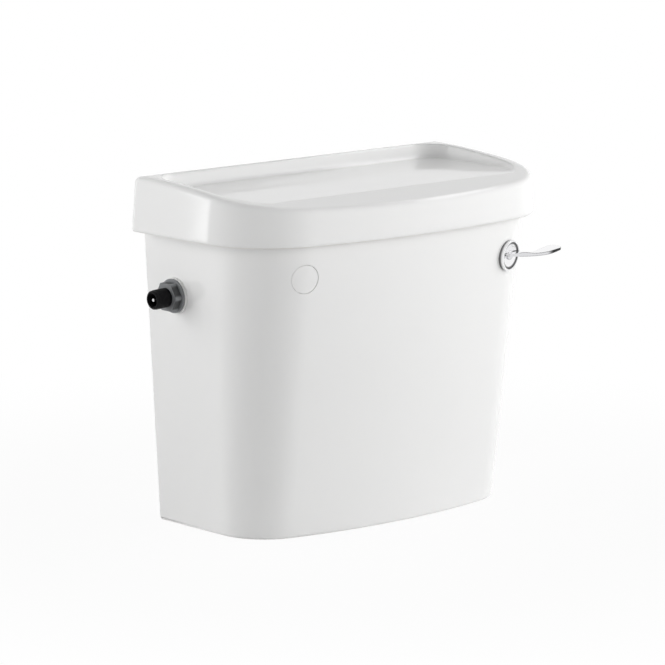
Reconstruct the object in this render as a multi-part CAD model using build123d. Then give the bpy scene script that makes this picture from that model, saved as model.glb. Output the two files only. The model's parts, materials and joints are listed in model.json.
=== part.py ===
from build123d import *
from math import asin, atan2, copysign, cos, degrees, pi, radians, sin, sqrt, tan
import os

os.makedirs("parts", exist_ok=True)

# Toilet cistern, close coupled, with a front lever, a siphon and a side inlet valve.
# Origin: axis of the flush outlet, in the plane that the foot stands on.
# +X is the lever's side, +Y points at the wall, +Z is up. Millimetres.

# Tank
base_width = 379.4
base_depth = 181.8
shoulder_width = 417.4
shoulder_depth = 216.6
shoulder_height = 325.0
rim_rise = 20.0
front_bow = 28.2
base_corner_radius = 60.8
shoulder_corner_radius = 79.0
outlet_to_wall = 92.0
wall = 9.0
floor_thickness = 10.0
foot_recess_depth = 24.0
foot_rim_width = 15.0
foot_edge_radius = 3.5
floor_cove_radius = 14.0
overrun = 2.0
face_clearance = 0.1
linkage_clearance = 0.35
thread_proud = 1.0
spot_face_diameter = 35.6
spot_face_depth = 6.0

# Clearances shared by the fitted pieces
running_clearance = 0.06
thread_clearance = 0.08
seat_clearance = 0.3

# Tank holes
outlet_hole_clearance = 1.7
inlet_hole_clearance = 1.5
lever_hole_clearance = 0.8
wall_screw_spacing = 300.0
wall_screw_drop = 29.0
wall_screw_hole = 8.0
coupling_bolt_spacing = 146.0
coupling_bolt_hole = 13.0

# Lid
lid_width = 452.5
lid_depth = 226.4
lid_bow = 32.4
lid_corner_radius = 92.7
lid_side_draw = 5.9
lid_front_draw = 3.8
lid_front_rise = 37.4
lid_back_rise = 60.4
lid_skirt = 7.0
lid_plate = 9.0
lid_top_radius = 6.0
lid_foot_radius = 3.0
lid_seat_width = 12.0
tray_floor_rise = 45.5
tray_side_margin = 9.5
tray_back_margin = 9.0
tray_corner_radius = 26.5
tray_slope_angle = 24.0
tray_cove_radius = 6.0
lid_rib_depth = 5.0
lid_rib_root = 9.0
lid_back_seat = 6.0
tray_front_share = 0.32
lid_rib_width = 5.0
lid_rib_gap = 2.5
lid_rib_length = 120.0

# Lever plate, bush and nut
lever_x = 149.4
lever_drop = 41.8
plate_diameter = 34.6
plate_rim = 4.8
plate_roll = 1.1
plate_skin = 1.0
plate_skirt = 2.6
plate_dish_mid_share = 0.2
bush_thread = 20.0
bush_flange_diameter = 26.0
bush_flange = 1.0
bush_length = 26.0
lever_washer_diameter = 31.0
lever_washer = 2.0
lever_nut_flats = 29.0
lever_nut = 7.0

# Lever handle
handle_reach = 86.0
handle_root = 13.0
handle_root_size = 1.6
handle_root_stand_off = 4.4
handle_root_rise = 2.0
handle_hub_stand_off = 6.0
handle_neck_stand_off = 9.0
handle_neck_width = 6.4
handle_neck_thickness = 5.0
handle_neck_rise = 0.6
handle_mid_share = 0.42
handle_mid_sag = 1.6
handle_mid_thickness = 3.6
handle_tip_length = 26.0
handle_tip_sag = 1.3
handle_tip_rise = 0.6
handle_tip_thickness = 2.4
handle_tip_stand_off = 13.5
handle_blade_width = 15.0
handle_hub_diameter = 10.0
handle_hub_top = 4.2
handle_hub_edge = 0.8
spindle_tenon = 6.0
spindle_tenon_length = 2.4

# Spindle and inner arm
spindle_diameter = 9.0
spindle_square = 6.2
spindle_length = 104.0
lever_swing_angle = 30.0
arm_boss_diameter = 17.0
arm_boss_length = 12.0
arm_thickness = 3.0
arm_height = 10.0
arm_run_in = 13.0
arm_end_length = 12.0
arm_tail = 7.0
arm_bend_radius = 6.0
arm_slot_height = 4.8
arm_slot_length = 10.6
arm_screw = 4.0
arm_screw_head = 7.0
arm_screw_head_height = 2.4

# Blanking plug in the unused lever hole
plug_x = 149.4
plug_drop = 36.3
plug_head_diameter = 31.0
plug_recess_depth = 3.6
plug_flush = 0.15
plug_gap = 0.4
plug_stem = 19.2
plug_stem_length = 20.0
plug_nut_diameter = 30.0
plug_nut = 5.0
plug_nut_grips = 12
plug_nut_grip = 2.4

# Siphon
siphon_thread = 47.8
siphon_spigot = 44.8
siphon_tube = 46.0
siphon_skin = 2.5
siphon_reach = 62.0
siphon_socket = 12.0
siphon_socket_lip = 3.0
siphon_flange_diameter = 72.0
siphon_flange = 5.0
siphon_washer_diameter = 74.0
siphon_washer = 3.0
siphon_nut_flats = 66.0
siphon_nut = 13.0
bell_diameter = 77.0
bell_bottom = 50.0
bell_top = 126.0
bell_neck = 22.0
rod_guide_diameter = 14.0
rod_guide_length = 51.0
overflow_tube = 18.0
overflow_bridge = 15.0
overflow_skin = 2.0
overflow_offset = 36.0
overflow_rise = 21.0
overflow_cross_height = 54.0
base_ring = 3.0
base_ring_height = 5.0

# Piston and lift link
piston_plate = 3.0
piston_gap = 1.2
piston_rest = 1.0
piston_ports = 6
piston_port = 13.0
piston_port_circle = 20.0
flap_thickness = 1.2
flap_inset = 3.0
flap_washer_diameter = 18.0
flap_washer = 2.5
rod_diameter = 6.0
rod_foot = 6.0
rod_nut_flats = 10.0
rod_nut = 5.0
eye_width = 12.0
eye_thickness = 5.0
eye_hole = 4.2
eye_height = 12.0
link_length = 28.0
link_wire = 3.0
link_width = 20.0
link_bend_radius = 3.2
link_open = 9.0

# Inlet valve tail and its fastening
inlet_setback = 48.0
inlet_drop = 66.0
tail_thread = 20.955
tail_free_thread = 20.6
tail_length = 33.0
tail_bore = 16.0
tail_chamfer = 1.2
inlet_washer_diameter = 40.0
inlet_washer = 2.6
inlet_nut_flats = 30.0
inlet_nut_flange_diameter = 37.5
inlet_nut_flange = 2.6
inlet_nut = 11.0
inlet_seal_diameter = 36.0
inlet_seal = 3.0
strainer_length = 14.0
strainer_flange = 1.6
strainer_skin = 1.0
strainer_pin = 3.4

# Inlet valve body
valve_flange_diameter = 34.0
valve_flange = 4.0
valve_barrel = 19.0
valve_barrel_length = 20.0
valve_head = 30.0
valve_head_length = 13.0
valve_seat_bore = 5.0
diaphragm = 2.2
diaphragm_inset = 0.8
end_cap = 3.4
end_cap_boss = 22.0
end_cap_boss_length = 6.0
union_nut_wall = 3.6
union_nut_lip = 2.4
union_nut_grip = 9.0
union_nut_ribs = 18
union_rib = 1.6
spout_tube = 10.0
spout_bore = 7.0
spout_rise = 11.0
spout_reach = 17.0
spout_drop = 12.0
spout_bend_radius = 8.0
spout_place_share = 0.62

# Plunger, float arm and float
plunger_diameter = 8.0
plunger_length = 13.0
float_swing_angle = 25.0
pivot_drop = 10.0
pivot_pin = 4.0
ear_thickness = 2.6
ear_gap = 10.0
ear_width = 10.0
arm_hub_diameter = 10.0
arm_side_clearance = 0.3
float_reach = 74.0
float_bar_height = 9.0
float_bar_width = 6.0
level_screw = 5.0
level_screw_length = 17.0
screw_tip_share = 0.45
level_screw_head = 8.0
level_screw_head_height = 3.0
level_boss = 10.0
level_boss_length = 6.0
level_nut_flats = 8.0
level_nut = 3.0
float_length = 64.0
float_width = 58.0
float_height = 46.0
float_edge_radius = 7.0
float_drop = 12.0
float_post = 12.0

# Heights above the foot, measured from the tank's shoulder
rim_height = shoulder_height + rim_rise
lid_front_height = shoulder_height + lid_front_rise
lid_back_height = shoulder_height + lid_back_rise
tray_floor_height = shoulder_height + tray_floor_rise
lever_height = shoulder_height - lever_drop
plug_height = shoulder_height - plug_drop
inlet_height = shoulder_height - inlet_drop
wall_screw_height = shoulder_height - wall_screw_drop


def plan_edges(width, depth, bow, corner, inset):
    """Edges of the plan outline: straight back and sides, round front corners, bowed front."""
    half = width / 2
    front_radius = (half * half + bow * bow) / (2 * bow)
    front_centre = outlet_to_wall - depth + front_radius
    corner_x = half - corner
    corner_y = front_centre - sqrt((front_radius - corner) ** 2 - corner_x ** 2)
    turn = atan2(corner_y - front_centre, corner_x)
    side = half - inset
    swing = turn / 2
    r = corner - inset
    joint = Vector((front_radius - inset) * cos(turn), front_centre + (front_radius - inset) * sin(turn))
    middle = Vector(corner_x + r * cos(swing), corner_y + r * sin(swing))
    front = Vector(0, front_centre - front_radius + inset)
    return side, Vector(side, corner_y), middle, joint, front


def mirrored(point):
    return Vector(-point.X, point.Y)


def plan_outline(width, depth, bow, corner, inset=0.0, back=0.0):
    """Plan outline as a face, drawn in by inset, with its back edge at back before the wall plane."""
    side, turn_in, middle, joint, front = plan_edges(width, depth, bow, corner, inset)
    back_y = outlet_to_wall - back
    right, left = Vector(side, back_y), Vector(-side, back_y)
    edges = [
        Edge.make_line(right, turn_in),
        Edge.make_three_point_arc(turn_in, middle, joint),
        Edge.make_three_point_arc(joint, front, mirrored(joint)),
        Edge.make_three_point_arc(mirrored(joint), mirrored(middle), mirrored(turn_in)),
        Edge.make_line(mirrored(turn_in), left),
        Edge.make_line(left, right),
    ]
    return Face(Wire(edges))


def at_height(value_low, value_high, z):
    """Size of the tank at height z, between its foot and its shoulder."""
    return value_low + (value_high - value_low) * min(z, shoulder_height) / shoulder_height


def tank_section(z, inset=0.0, back=0.0):
    face = plan_outline(
        at_height(base_width, shoulder_width, z),
        at_height(base_depth, shoulder_depth, z),
        front_bow,
        at_height(base_corner_radius, shoulder_corner_radius, z),
        inset,
        back,
    )
    return Pos(0, 0, z) * face


def tank_block(z_low, z_high, inset=0.0, back=0.0):
    """Solid of the tank's outline, drawn in by inset, from z_low to z_high."""
    lower = loft([tank_section(z_low, inset, back), tank_section(shoulder_height, inset, back)], ruled=True)
    upper = extrude(tank_section(shoulder_height, inset, back), z_high - shoulder_height, dir=(0, 0, 1))
    return lower + upper


def front_frame(x, z):
    """Frame on the tank's front at x and z: its Z points straight out, its X runs to the right."""
    half = at_height(base_width, shoulder_width, z) / 2
    depth = at_height(base_depth, shoulder_depth, z)
    corner = at_height(base_corner_radius, shoulder_corner_radius, z)
    radius = (half * half + front_bow * front_bow) / (2 * front_bow)
    centre_x, centre_y = 0, outlet_to_wall - depth + radius
    corner_x = half - corner
    if abs(x) > corner_x * radius / (radius - corner):
        centre_y -= sqrt((radius - corner) ** 2 - corner_x ** 2)
        centre_x, radius = copysign(corner_x, x), corner
    turn = asin((x - centre_x) / radius)
    lean = atan2(shoulder_depth - base_depth, shoulder_height)
    origin = Vector(x, centre_y - radius * cos(turn), z)
    out = Vector(sin(turn) * cos(lean), -cos(turn) * cos(lean), -sin(lean))
    return Plane(origin=origin, x_dir=Vector(cos(turn), sin(turn), 0), z_dir=out)


def side_frame(z, setback):
    """Frame on the left side wall: its Z points straight out, its Y points up the wall."""
    lean = atan2((shoulder_width - base_width) / 2, shoulder_height)
    origin = Vector(-at_height(base_width, shoulder_width, z) / 2, outlet_to_wall - setback, z)
    return Plane(origin=origin, x_dir=Vector(0, -1, 0), z_dir=Vector(-cos(lean), 0, -sin(lean)))


def rod(radius, low, high, x=0.0, y=0.0):
    """Cylinder along Z from low to high."""
    return Pos(x, y, low) * extrude(Circle(radius), high - low)


def ring(outer, inner, low, high):
    return rod(outer, low, high) - rod(inner, low - overrun, high + overrun)


def hexagon(flats, low, high):
    return Pos(0, 0, low) * extrude(RegularPolygon(flats / 2, 6, major_radius=False), high - low)


lever_frame = front_frame(lever_x, lever_height)
plug_frame = front_frame(-plug_x, plug_height)
inlet_frame = side_frame(inlet_height, inlet_setback)

floor_top = foot_recess_depth + floor_thickness
tail_radius = tail_thread / 2
siphon_radius = siphon_thread / 2
bush_radius = bush_thread / 2
inner_face = -(wall + seat_clearance)


# Tank

def make_tank():
    outer = tank_block(0, rim_height)
    outer = fillet(outer.edges().group_by(Axis.Z)[0], foot_edge_radius)
    room = tank_block(floor_top, rim_height + overrun, wall, wall)
    room = fillet(room.edges().group_by(Axis.Z)[0], floor_cove_radius)
    recess = extrude(tank_section(0, foot_rim_width, foot_rim_width), foot_recess_depth, dir=(0, 0, 1))
    tank = outer - room - recess
    tank -= rod(siphon_radius + outlet_hole_clearance, 0, floor_top + overrun)
    for side in (-1, 1):
        bolt_x = side * coupling_bolt_spacing / 2
        tank -= rod(coupling_bolt_hole / 2, 0, floor_top + overrun, bolt_x)
        screw_x = side * wall_screw_spacing / 2
        screw = Plane(origin=(screw_x, outlet_to_wall + overrun, wall_screw_height), z_dir=(0, -1, 0))
        tank -= screw * rod(wall_screw_hole / 2, 0, wall + overrun + overrun)
    through = wall + overrun
    tank -= lever_frame * rod(bush_radius + lever_hole_clearance, -through, overrun)
    tank -= plug_frame * rod(bush_radius + lever_hole_clearance, -through, overrun)
    tank -= plug_frame * rod(plug_head_diameter / 2 + plug_gap, -plug_recess_depth, overrun)
    for frame in (lever_frame, plug_frame):
        tank -= frame * rod(spot_face_diameter / 2, -wall - spot_face_depth, -wall)
    tank -= inlet_frame * rod(tail_radius + inlet_hole_clearance, -through, overrun)
    return tank


# Lid

def lid_section(z, inset=0.0, back=0.0):
    share = (z - shoulder_height) / (lid_back_height - shoulder_height)
    face = plan_outline(
        lid_width - 2 * lid_side_draw * share,
        lid_depth - lid_front_draw * share,
        lid_bow,
        lid_corner_radius - lid_side_draw * share,
        inset,
        back,
    )
    return Pos(0, 0, z) * face


rim_rise_shares = (0, 0.2, 0.4, 0.6, 0.8, 1)


def rim_curve_points():
    """Points of the rim's line seen from the side, a quarter sine from front to back."""
    front_y = outlet_to_wall - lid_depth
    rise = lid_back_height - lid_front_height
    return [
        Vector(0, front_y + lid_depth * s, lid_front_height + rise * sin(s * pi / 2))
        for s in rim_rise_shares
    ]


def side_profile(points):
    """Face in the YZ plane below a curve through points, down past the lid's foot."""
    top = Edge.make_spline(points, tangents=[points[1] - points[0], Vector(0, 1, 0)])
    low = shoulder_height - overrun
    first, last = points[0], points[-1]
    front_y, back_y = first.Y - overrun, last.Y + overrun
    slope = (points[1].Z - first.Z) / (points[1].Y - first.Y)
    start = Vector(0, front_y, first.Z - slope * overrun)
    outline = [
        Edge.make_line(start, first),
        top,
        Edge.make_line(last, Vector(0, back_y, last.Z)),
        Edge.make_line(Vector(0, back_y, last.Z), Vector(0, back_y, low)),
        Edge.make_line(Vector(0, back_y, low), Vector(0, front_y, low)),
        Edge.make_line(Vector(0, front_y, low), start),
    ]
    return Face(Wire(outline))


def rounded_back(face, radius):
    """The same outline with its two back corners rounded."""
    return fillet(face.vertices().group_by(Axis.Y)[-1], radius)


def tray_pocket():
    """Flat-floored recess with sloping walls, which runs out where the rim falls below its floor."""
    high = lid_back_height + overrun
    spread = (high - tray_floor_height) * tan(radians(tray_slope_angle))
    low_face = lid_section(tray_floor_height, tray_side_margin + spread, tray_back_margin + spread)
    high_face = lid_section(high, tray_side_margin, tray_back_margin)
    pocket = loft([
        rounded_back(low_face, tray_corner_radius),
        rounded_back(high_face, tray_corner_radius + spread),
    ], ruled=True)
    return fillet(pocket.edges().group_by(Axis.Z)[0], tray_cove_radius)


def lid_room():
    """Hollow under the lid's plate, stepped down with the plate towards the front."""
    outer = wall + lid_seat_width
    front_high, back_high = lid_front_height - lid_plate, tray_floor_height - lid_plate
    front_y = outlet_to_wall - lid_depth
    step_y = front_y + lid_depth * tray_front_share
    mouth = lid_section(rim_height, outer, wall + lid_back_seat)
    block = extrude(mouth, back_high - rim_height, dir=(0, 0, 1))
    wedge = Plane.YZ * Polyline(
        (front_y, front_high),
        (step_y, back_high),
        (step_y, back_high + overrun),
        (front_y, back_high + overrun),
        close=True,
    )
    return block - extrude(make_face(wedge), lid_width, both=True)


def make_lid():
    block = loft([lid_section(shoulder_height), lid_section(lid_back_height)], ruled=True)
    slab = extrude(side_profile(rim_curve_points()), lid_width, dir=(1, 0, 0), both=True)
    lid = block & slab
    crown = lid.faces().sort_by(Axis.Z)[-1]
    lid = fillet(crown.edges(), lid_top_radius)
    lid = fillet(lid.edges().group_by(Axis.Z)[0], lid_foot_radius)
    lid -= tray_pocket()
    lid -= loft([
        lid_section(shoulder_height - overrun, lid_skirt, -overrun),
        lid_section(rim_height, lid_skirt, -overrun),
    ], ruled=True)
    lid -= lid_room()
    half_mouth = shoulder_width / 2 - wall
    for side in (-1, 1):
        x = side * (half_mouth - lid_rib_gap - lid_rib_width / 2)
        y = outlet_to_wall - wall - lid_rib_gap - lid_rib_length / 2
        low = rim_height - lid_rib_depth
        rib = Box(lid_rib_width, lid_rib_length, lid_rib_depth + lid_rib_root)
        lid += Pos(x, y, low + (lid_rib_depth + lid_rib_root) / 2) * rib
    return lid


# Lever plate, bush and nut

def make_plate():
    """Dished plate with a rolled rim, in the lever's frame."""
    edge = plate_diameter / 2
    inner = edge - plate_skin
    hole = handle_hub_diameter / 2 + seat_clearance
    low = bush_flange + 2 * face_clearance
    floor = low + plate_skin
    shoulder = plate_rim - plate_roll
    lip = edge - 2 * plate_roll
    outline = [
        Edge.make_line(Vector(inner, 0, -plate_skirt), Vector(edge, 0, -plate_skirt)),
        Edge.make_line(Vector(edge, 0, -plate_skirt), Vector(edge, 0, shoulder)),
        Edge.make_three_point_arc(
            Vector(edge, 0, shoulder), Vector(edge - plate_roll, 0, plate_rim), Vector(lip, 0, shoulder)
        ),
        Edge.make_three_point_arc(
            Vector(lip, 0, shoulder),
            Vector((lip + hole) / 2, 0, floor + (shoulder - floor) * plate_dish_mid_share),
            Vector(hole, 0, floor),
        ),
        Edge.make_line(Vector(hole, 0, floor), Vector(hole, 0, low)),
        Edge.make_line(Vector(hole, 0, low), Vector(inner, 0, low)),
        Edge.make_line(Vector(inner, 0, low), Vector(inner, 0, -plate_skirt)),
    ]
    plate = lever_frame * revolve(Face(Wire(outline)), Axis.Z)
    return plate - tank_block(0, rim_height, -face_clearance)


def make_bush():
    bush = rod(bush_radius, -bush_length, bush_flange) + rod(bush_flange_diameter / 2, 0, bush_flange)
    bush -= rod(spindle_diameter / 2 + running_clearance, -bush_length - overrun, bush_flange + overrun)
    return lever_frame * (Pos(0, 0, face_clearance) * bush)


def make_lever_washer():
    return lever_frame * ring(
        lever_washer_diameter / 2, bush_radius + thread_clearance, inner_face - lever_washer, inner_face
    )


def make_lever_nut():
    top = inner_face - lever_washer
    nut = hexagon(lever_nut_flats, top - lever_nut, top)
    return lever_frame * (nut - rod(bush_radius + thread_clearance, top - lever_nut - overrun, top + overrun))


# Lever handle, spindle and inner arm

bush_face = bush_flange + face_clearance


def blade_edges(stations, across):
    """Two curves through stations of place, middle and width, one on each side of the middle line."""
    edges = []
    for side in (1, -1):
        points = [Vector(place, 0, 0) + across * (middle + side * width / 2) for place, middle, width in stations]
        edges.append(Edge.make_spline(points, tangents=[points[1] - points[0], Vector(1, 0, 0)]))
    return edges


def make_handle():
    """Slim blade that rises from a point in the plate's dish, sags a little and widens to a round end."""
    rim = plate_diameter / 2
    middle = handle_reach * handle_mid_share
    wide = handle_reach - handle_blade_width / 2
    mid_stand_off = (handle_neck_stand_off + handle_tip_stand_off) / 2
    near, far = blade_edges([
        (-handle_root, handle_root_stand_off, handle_root_size),
        (0, handle_hub_stand_off, handle_neck_width),
        (rim, handle_neck_stand_off, handle_neck_width),
        (middle, mid_stand_off, handle_neck_width),
        (wide, handle_tip_stand_off, handle_blade_width),
    ], Vector(0, 0, 1))
    tip = Edge.make_three_point_arc(near @ 1, Vector(handle_reach, 0, handle_tip_stand_off), far @ 1)
    root = Edge.make_line(far @ 0, near @ 0)
    plan = extrude(Face(Wire([near, tip, far, root])), handle_reach / 2, dir=(0, 1, 0), both=True)
    top, low = blade_edges([
        (-handle_root, handle_root_rise, handle_root_size),
        (rim, handle_neck_rise, handle_neck_thickness),
        (middle, -handle_mid_sag, handle_mid_thickness),
        (handle_reach - handle_tip_length, -handle_tip_sag, handle_mid_thickness),
        (handle_reach + overrun, handle_tip_rise, handle_tip_thickness),
    ], Vector(0, 1, 0))
    ends = [Edge.make_line(low @ 0, top @ 0), Edge.make_line(low @ 1, top @ 1)]
    side = extrude(Face(Wire([top, ends[1], low, ends[0]])), handle_reach, dir=(0, 0, 1), both=True)
    hub = rod(handle_hub_diameter / 2, bush_face + face_clearance, handle_hub_top)
    hub = fillet(hub.edges().sort_by(Axis.Z)[-1], handle_hub_edge)
    socket = rod(spindle_tenon / 2 + thread_clearance, 0, bush_face + spindle_tenon_length + face_clearance)
    return lever_frame * ((plan & side) + hub - socket)


def make_spindle():
    spindle = rod(spindle_diameter / 2, -bush_length - overrun, bush_face)
    spindle += rod(spindle_tenon / 2, bush_face, bush_face + spindle_tenon_length)
    square = extrude(Rectangle(spindle_square, spindle_square), spindle_length - bush_length)
    return lever_frame * spindle + arm_frame * (Pos(0, 0, -spindle_length) * square)


half_swing = radians(lever_swing_angle) / 2
arm_frame = Plane(lever_frame.location * Rot(0, 0, degrees(half_swing)))


def solve_arm():
    """Reach from the spindle's axis and depth behind the front at which the arm meets the piston's axis."""
    along, inward = arm_frame.x_dir * -1, arm_frame.z_dir * -1
    start = arm_frame.origin
    dx, dy = siphon_reach - start.X, -start.Y
    spread = along.X * inward.Y - along.Y * inward.X
    reach = (dx * inward.Y - dy * inward.X) / spread
    depth = (along.X * dy - along.Y * dx) / spread
    return reach, depth


arm_reach, arm_depth = solve_arm()
hook = arm_frame.from_local_coords((-arm_reach, 0, -arm_depth))


def make_inner_arm():
    boss_z = arm_boss_length / 2 - spindle_length
    boss_edge = arm_boss_diameter / 2
    boss = rod(boss_edge, -spindle_length, arm_boss_length - spindle_length)
    points = [
        (-boss_edge + arm_thickness, 0, boss_z),
        (-boss_edge - arm_run_in, 0, boss_z),
        (-arm_reach + arm_end_length, 0, -arm_depth),
        (-arm_reach - arm_tail, 0, -arm_depth),
    ]
    path = FilletPolyline(*points, radius=arm_bend_radius)
    start = Plane(origin=points[0], x_dir=(0, 1, 0), z_dir=(-1, 0, 0))
    strip = sweep(start * Rectangle(arm_height, arm_thickness), path=path)
    slot = Pos(-arm_reach, 0, -arm_depth - arm_thickness) * extrude(
        SlotOverall(arm_slot_length, arm_slot_height), 2 * arm_thickness
    )
    arm = boss + strip - slot
    square = spindle_square + 2 * thread_clearance
    socket = extrude(Rectangle(square, square), arm_boss_length + 2 * overrun)
    arm -= Pos(0, 0, -spindle_length - overrun) * socket
    across = Plane(origin=(0, 0, boss_z), z_dir=(0, 1, 0))
    arm -= across * rod(arm_screw / 2 + thread_clearance, 0, boss_edge + overrun)
    return arm_frame * arm


def make_arm_screw():
    boss_z = arm_boss_length / 2 - spindle_length
    across = Plane(origin=(0, 0, boss_z), z_dir=(0, 1, 0))
    low = spindle_square / 2 + seat_clearance
    high = arm_boss_diameter / 2
    screw = rod(arm_screw / 2, low, high) + rod(arm_screw_head / 2, high, high + arm_screw_head_height)
    return arm_frame * (across * screw)


# Blanking plug and its nut

def make_plug():
    """Plug whose head lies in its recess, flush with the curved front."""
    low = face_clearance - plug_recess_depth
    head = plug_frame * rod(plug_head_diameter / 2, low, overrun)
    head &= tank_block(0, rim_height, plug_flush)
    return head + plug_frame * rod(plug_stem / 2, low - plug_stem_length, low)


def make_plug_nut():
    high = inner_face
    nut = rod(plug_nut_diameter / 2, high - plug_nut, high)
    bite = rod(plug_nut_grip / 2, high - plug_nut - overrun, high + overrun, plug_nut_diameter / 2)
    for i in range(plug_nut_grips):
        nut -= Rot(0, 0, i * 360 / plug_nut_grips) * bite
    nut -= rod(plug_stem / 2 + thread_clearance, high - plug_nut - overrun, high + overrun)
    return plug_frame * nut


# Siphon: a leg on the outlet, a bell with its riser, and a crown that joins them

bell_bore = bell_diameter / 2 - siphon_skin
leg_radius = siphon_tube / 2
leg_bore = leg_radius - siphon_skin
eye_centre = hook.Z - link_length
rod_guide_top = eye_centre - eye_height / 2 - piston_rest
siphon_turn_height = rod_guide_top - rod_guide_length
overflow_top = siphon_turn_height + overflow_rise


def siphon_bend(radius):
    """Inverted U of round pipe, with straight ends as long as the crown's sockets."""
    half = siphon_reach / 2
    high = siphon_turn_height
    low = high - siphon_socket - overrun
    rise = Line((0, 0, low), (0, 0, high))
    turn = ThreePointArc((0, 0, high), (half, 0, high + half), (siphon_reach, 0, high))
    fall = Line((siphon_reach, 0, high), (siphon_reach, 0, low))
    return sweep(Pos(0, 0, low) * Circle(radius), path=Wire([rise, turn, fall]))


def siphon_bell(bell_radius, low, neck_radius, skin, high):
    outline = Plane.XZ * Polyline(
        (0, low),
        (bell_radius, low),
        (bell_radius, bell_top - skin),
        (neck_radius, bell_top + bell_neck - skin),
        (neck_radius, high),
        (0, high),
        close=True,
    )
    return Pos(siphon_reach, 0, 0) * revolve(make_face(outline), Axis.Z)


def make_siphon_body():
    """Bell that the piston lifts in, narrowing to the riser that stands in the crown."""
    high = siphon_turn_height
    body = siphon_bell(bell_diameter / 2, bell_bottom, leg_radius, 0, high)
    return body - siphon_bell(bell_bore, bell_bottom - overrun, leg_bore, siphon_skin, high + overrun)


def make_siphon_crown():
    """Bend over the two legs, with a socket for each and a guide for the piston's rod."""
    socket_low = siphon_turn_height - siphon_socket
    crown = siphon_bend(leg_radius)
    crown += rod(rod_guide_diameter / 2, siphon_turn_height + leg_radius, rod_guide_top, siphon_reach)
    for x in (0, siphon_reach):
        crown += rod(leg_radius + siphon_skin, socket_low, siphon_turn_height + siphon_socket_lip, x)
    crown -= siphon_bend(leg_bore)
    for x in (0, siphon_reach):
        crown -= rod(leg_radius + siphon_skin + overrun, socket_low - 2 * overrun, socket_low, x)
        crown -= rod(leg_radius + thread_clearance, socket_low - overrun, siphon_turn_height, x)
    guide = rod_diameter / 2 + running_clearance
    return crown - rod(guide, siphon_turn_height, rod_guide_top + overrun, siphon_reach)


def make_siphon_leg():
    """Leg with the threaded tail, the flange that seals on the floor, and the overflow beside it."""
    flange_low = floor_top + siphon_washer
    thread_low = foot_recess_depth - siphon_nut - thread_proud
    leg = rod(leg_radius, flange_low, siphon_turn_height) + rod(siphon_radius, thread_low, flange_low)
    leg += rod(siphon_spigot / 2, 0, thread_low)
    leg += rod(siphon_flange_diameter / 2, flange_low, flange_low + siphon_flange)
    leg += rod(overflow_tube / 2, flange_low, overflow_top, 0, -overflow_offset)
    bridge = Plane(origin=(0, 0, overflow_cross_height), z_dir=(0, -1, 0))
    leg += bridge * rod(overflow_bridge / 2, 0, overflow_offset)
    leg -= rod(leg_bore, -overrun, siphon_turn_height + overrun)
    bore = overflow_tube / 2 - overflow_skin
    leg -= rod(bore, overflow_cross_height - bore, overflow_top + overrun, 0, -overflow_offset)
    return leg - bridge * rod(overflow_bridge / 2 - overflow_skin, 0, overflow_offset)


def make_siphon_washer():
    return ring(siphon_washer_diameter / 2, siphon_radius + seat_clearance, floor_top, floor_top + siphon_washer)


def make_siphon_nut():
    nut = hexagon(siphon_nut_flats, foot_recess_depth - siphon_nut, foot_recess_depth)
    return nut - rod(siphon_radius + thread_clearance, 0, foot_recess_depth + overrun)


def make_base_ring():
    outer = bell_bore - thread_clearance
    return Pos(siphon_reach, 0, 0) * ring(outer, outer - base_ring, bell_bottom, bell_bottom + base_ring_height)


# Piston, its rod and the lift link

piston_low = bell_bottom + base_ring_height + seat_clearance
piston_radius = bell_bore - piston_gap


def make_piston_plate():
    plate = rod(piston_radius, piston_low, piston_low + piston_plate)
    for i in range(piston_ports):
        port = rod(piston_port / 2, piston_low - overrun, piston_low + piston_plate + overrun, piston_port_circle)
        plate -= Rot(0, 0, i * 360 / piston_ports) * port
    plate -= rod(rod_foot / 2 + thread_clearance, piston_low - overrun, piston_low + piston_plate + overrun)
    return Pos(siphon_reach, 0, 0) * plate


def make_flap():
    low = piston_low + piston_plate
    return Pos(siphon_reach, 0, 0) * ring(
        piston_radius - flap_inset, rod_foot / 2 + thread_clearance, low, low + flap_thickness
    )


def make_flap_washer():
    low = piston_low + piston_plate + flap_thickness
    return Pos(siphon_reach, 0, 0) * ring(
        flap_washer_diameter / 2, rod_foot / 2 + thread_clearance, low, low + flap_washer
    )


def make_piston_nut():
    nut = hexagon(rod_nut_flats, piston_low - rod_nut, piston_low)
    nut -= rod(rod_foot / 2 + thread_clearance, piston_low - rod_nut - overrun, piston_low + overrun)
    return Pos(siphon_reach, 0, 0) * nut


def make_piston_rod():
    shaft = rod(rod_foot / 2, piston_low - rod_nut, eye_centre)
    eye = Box(eye_width, eye_thickness, eye_height)
    eye = fillet(eye.edges().filter_by(Axis.Y), eye_width / 4)
    across = Plane(origin=(0, eye_thickness, eye_centre), z_dir=(0, -1, 0))
    whole = shaft + Pos(0, 0, eye_centre) * eye - across * rod(eye_hole / 2, 0, 2 * eye_thickness)
    return Pos(siphon_reach, 0, 0) * whole


def make_lift_link():
    """Open wire stirrup: its lower bar hangs in the rod's eye, its upper bar lies in the arm's slot."""
    side = link_width / 2
    middle = (eye_centre + hook.Z) / 2
    points = [
        (siphon_reach, -side, middle - link_open / 2),
        (siphon_reach, -side, eye_centre),
        (siphon_reach, side, eye_centre),
        (siphon_reach, side, hook.Z),
        (siphon_reach, -side, hook.Z),
        (siphon_reach, -side, middle + link_open / 2),
    ]
    path = FilletPolyline(*points, radius=link_bend_radius)
    start = Plane(origin=points[0], z_dir=(0, 0, -1))
    return sweep(start * Circle(link_wire / 2), path=path)


# Inlet tail and its fastening

seal_face = -wall - face_clearance
flange_face = seal_face - inlet_seal
barrel_face = flange_face - valve_flange
head_face = barrel_face - valve_barrel_length
head_end = head_face - valve_head_length
diaphragm_end = head_end - diaphragm
cap_end = diaphragm_end - end_cap
lip_end = cap_end - union_nut_lip
boss_end = cap_end - end_cap_boss_length


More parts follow.
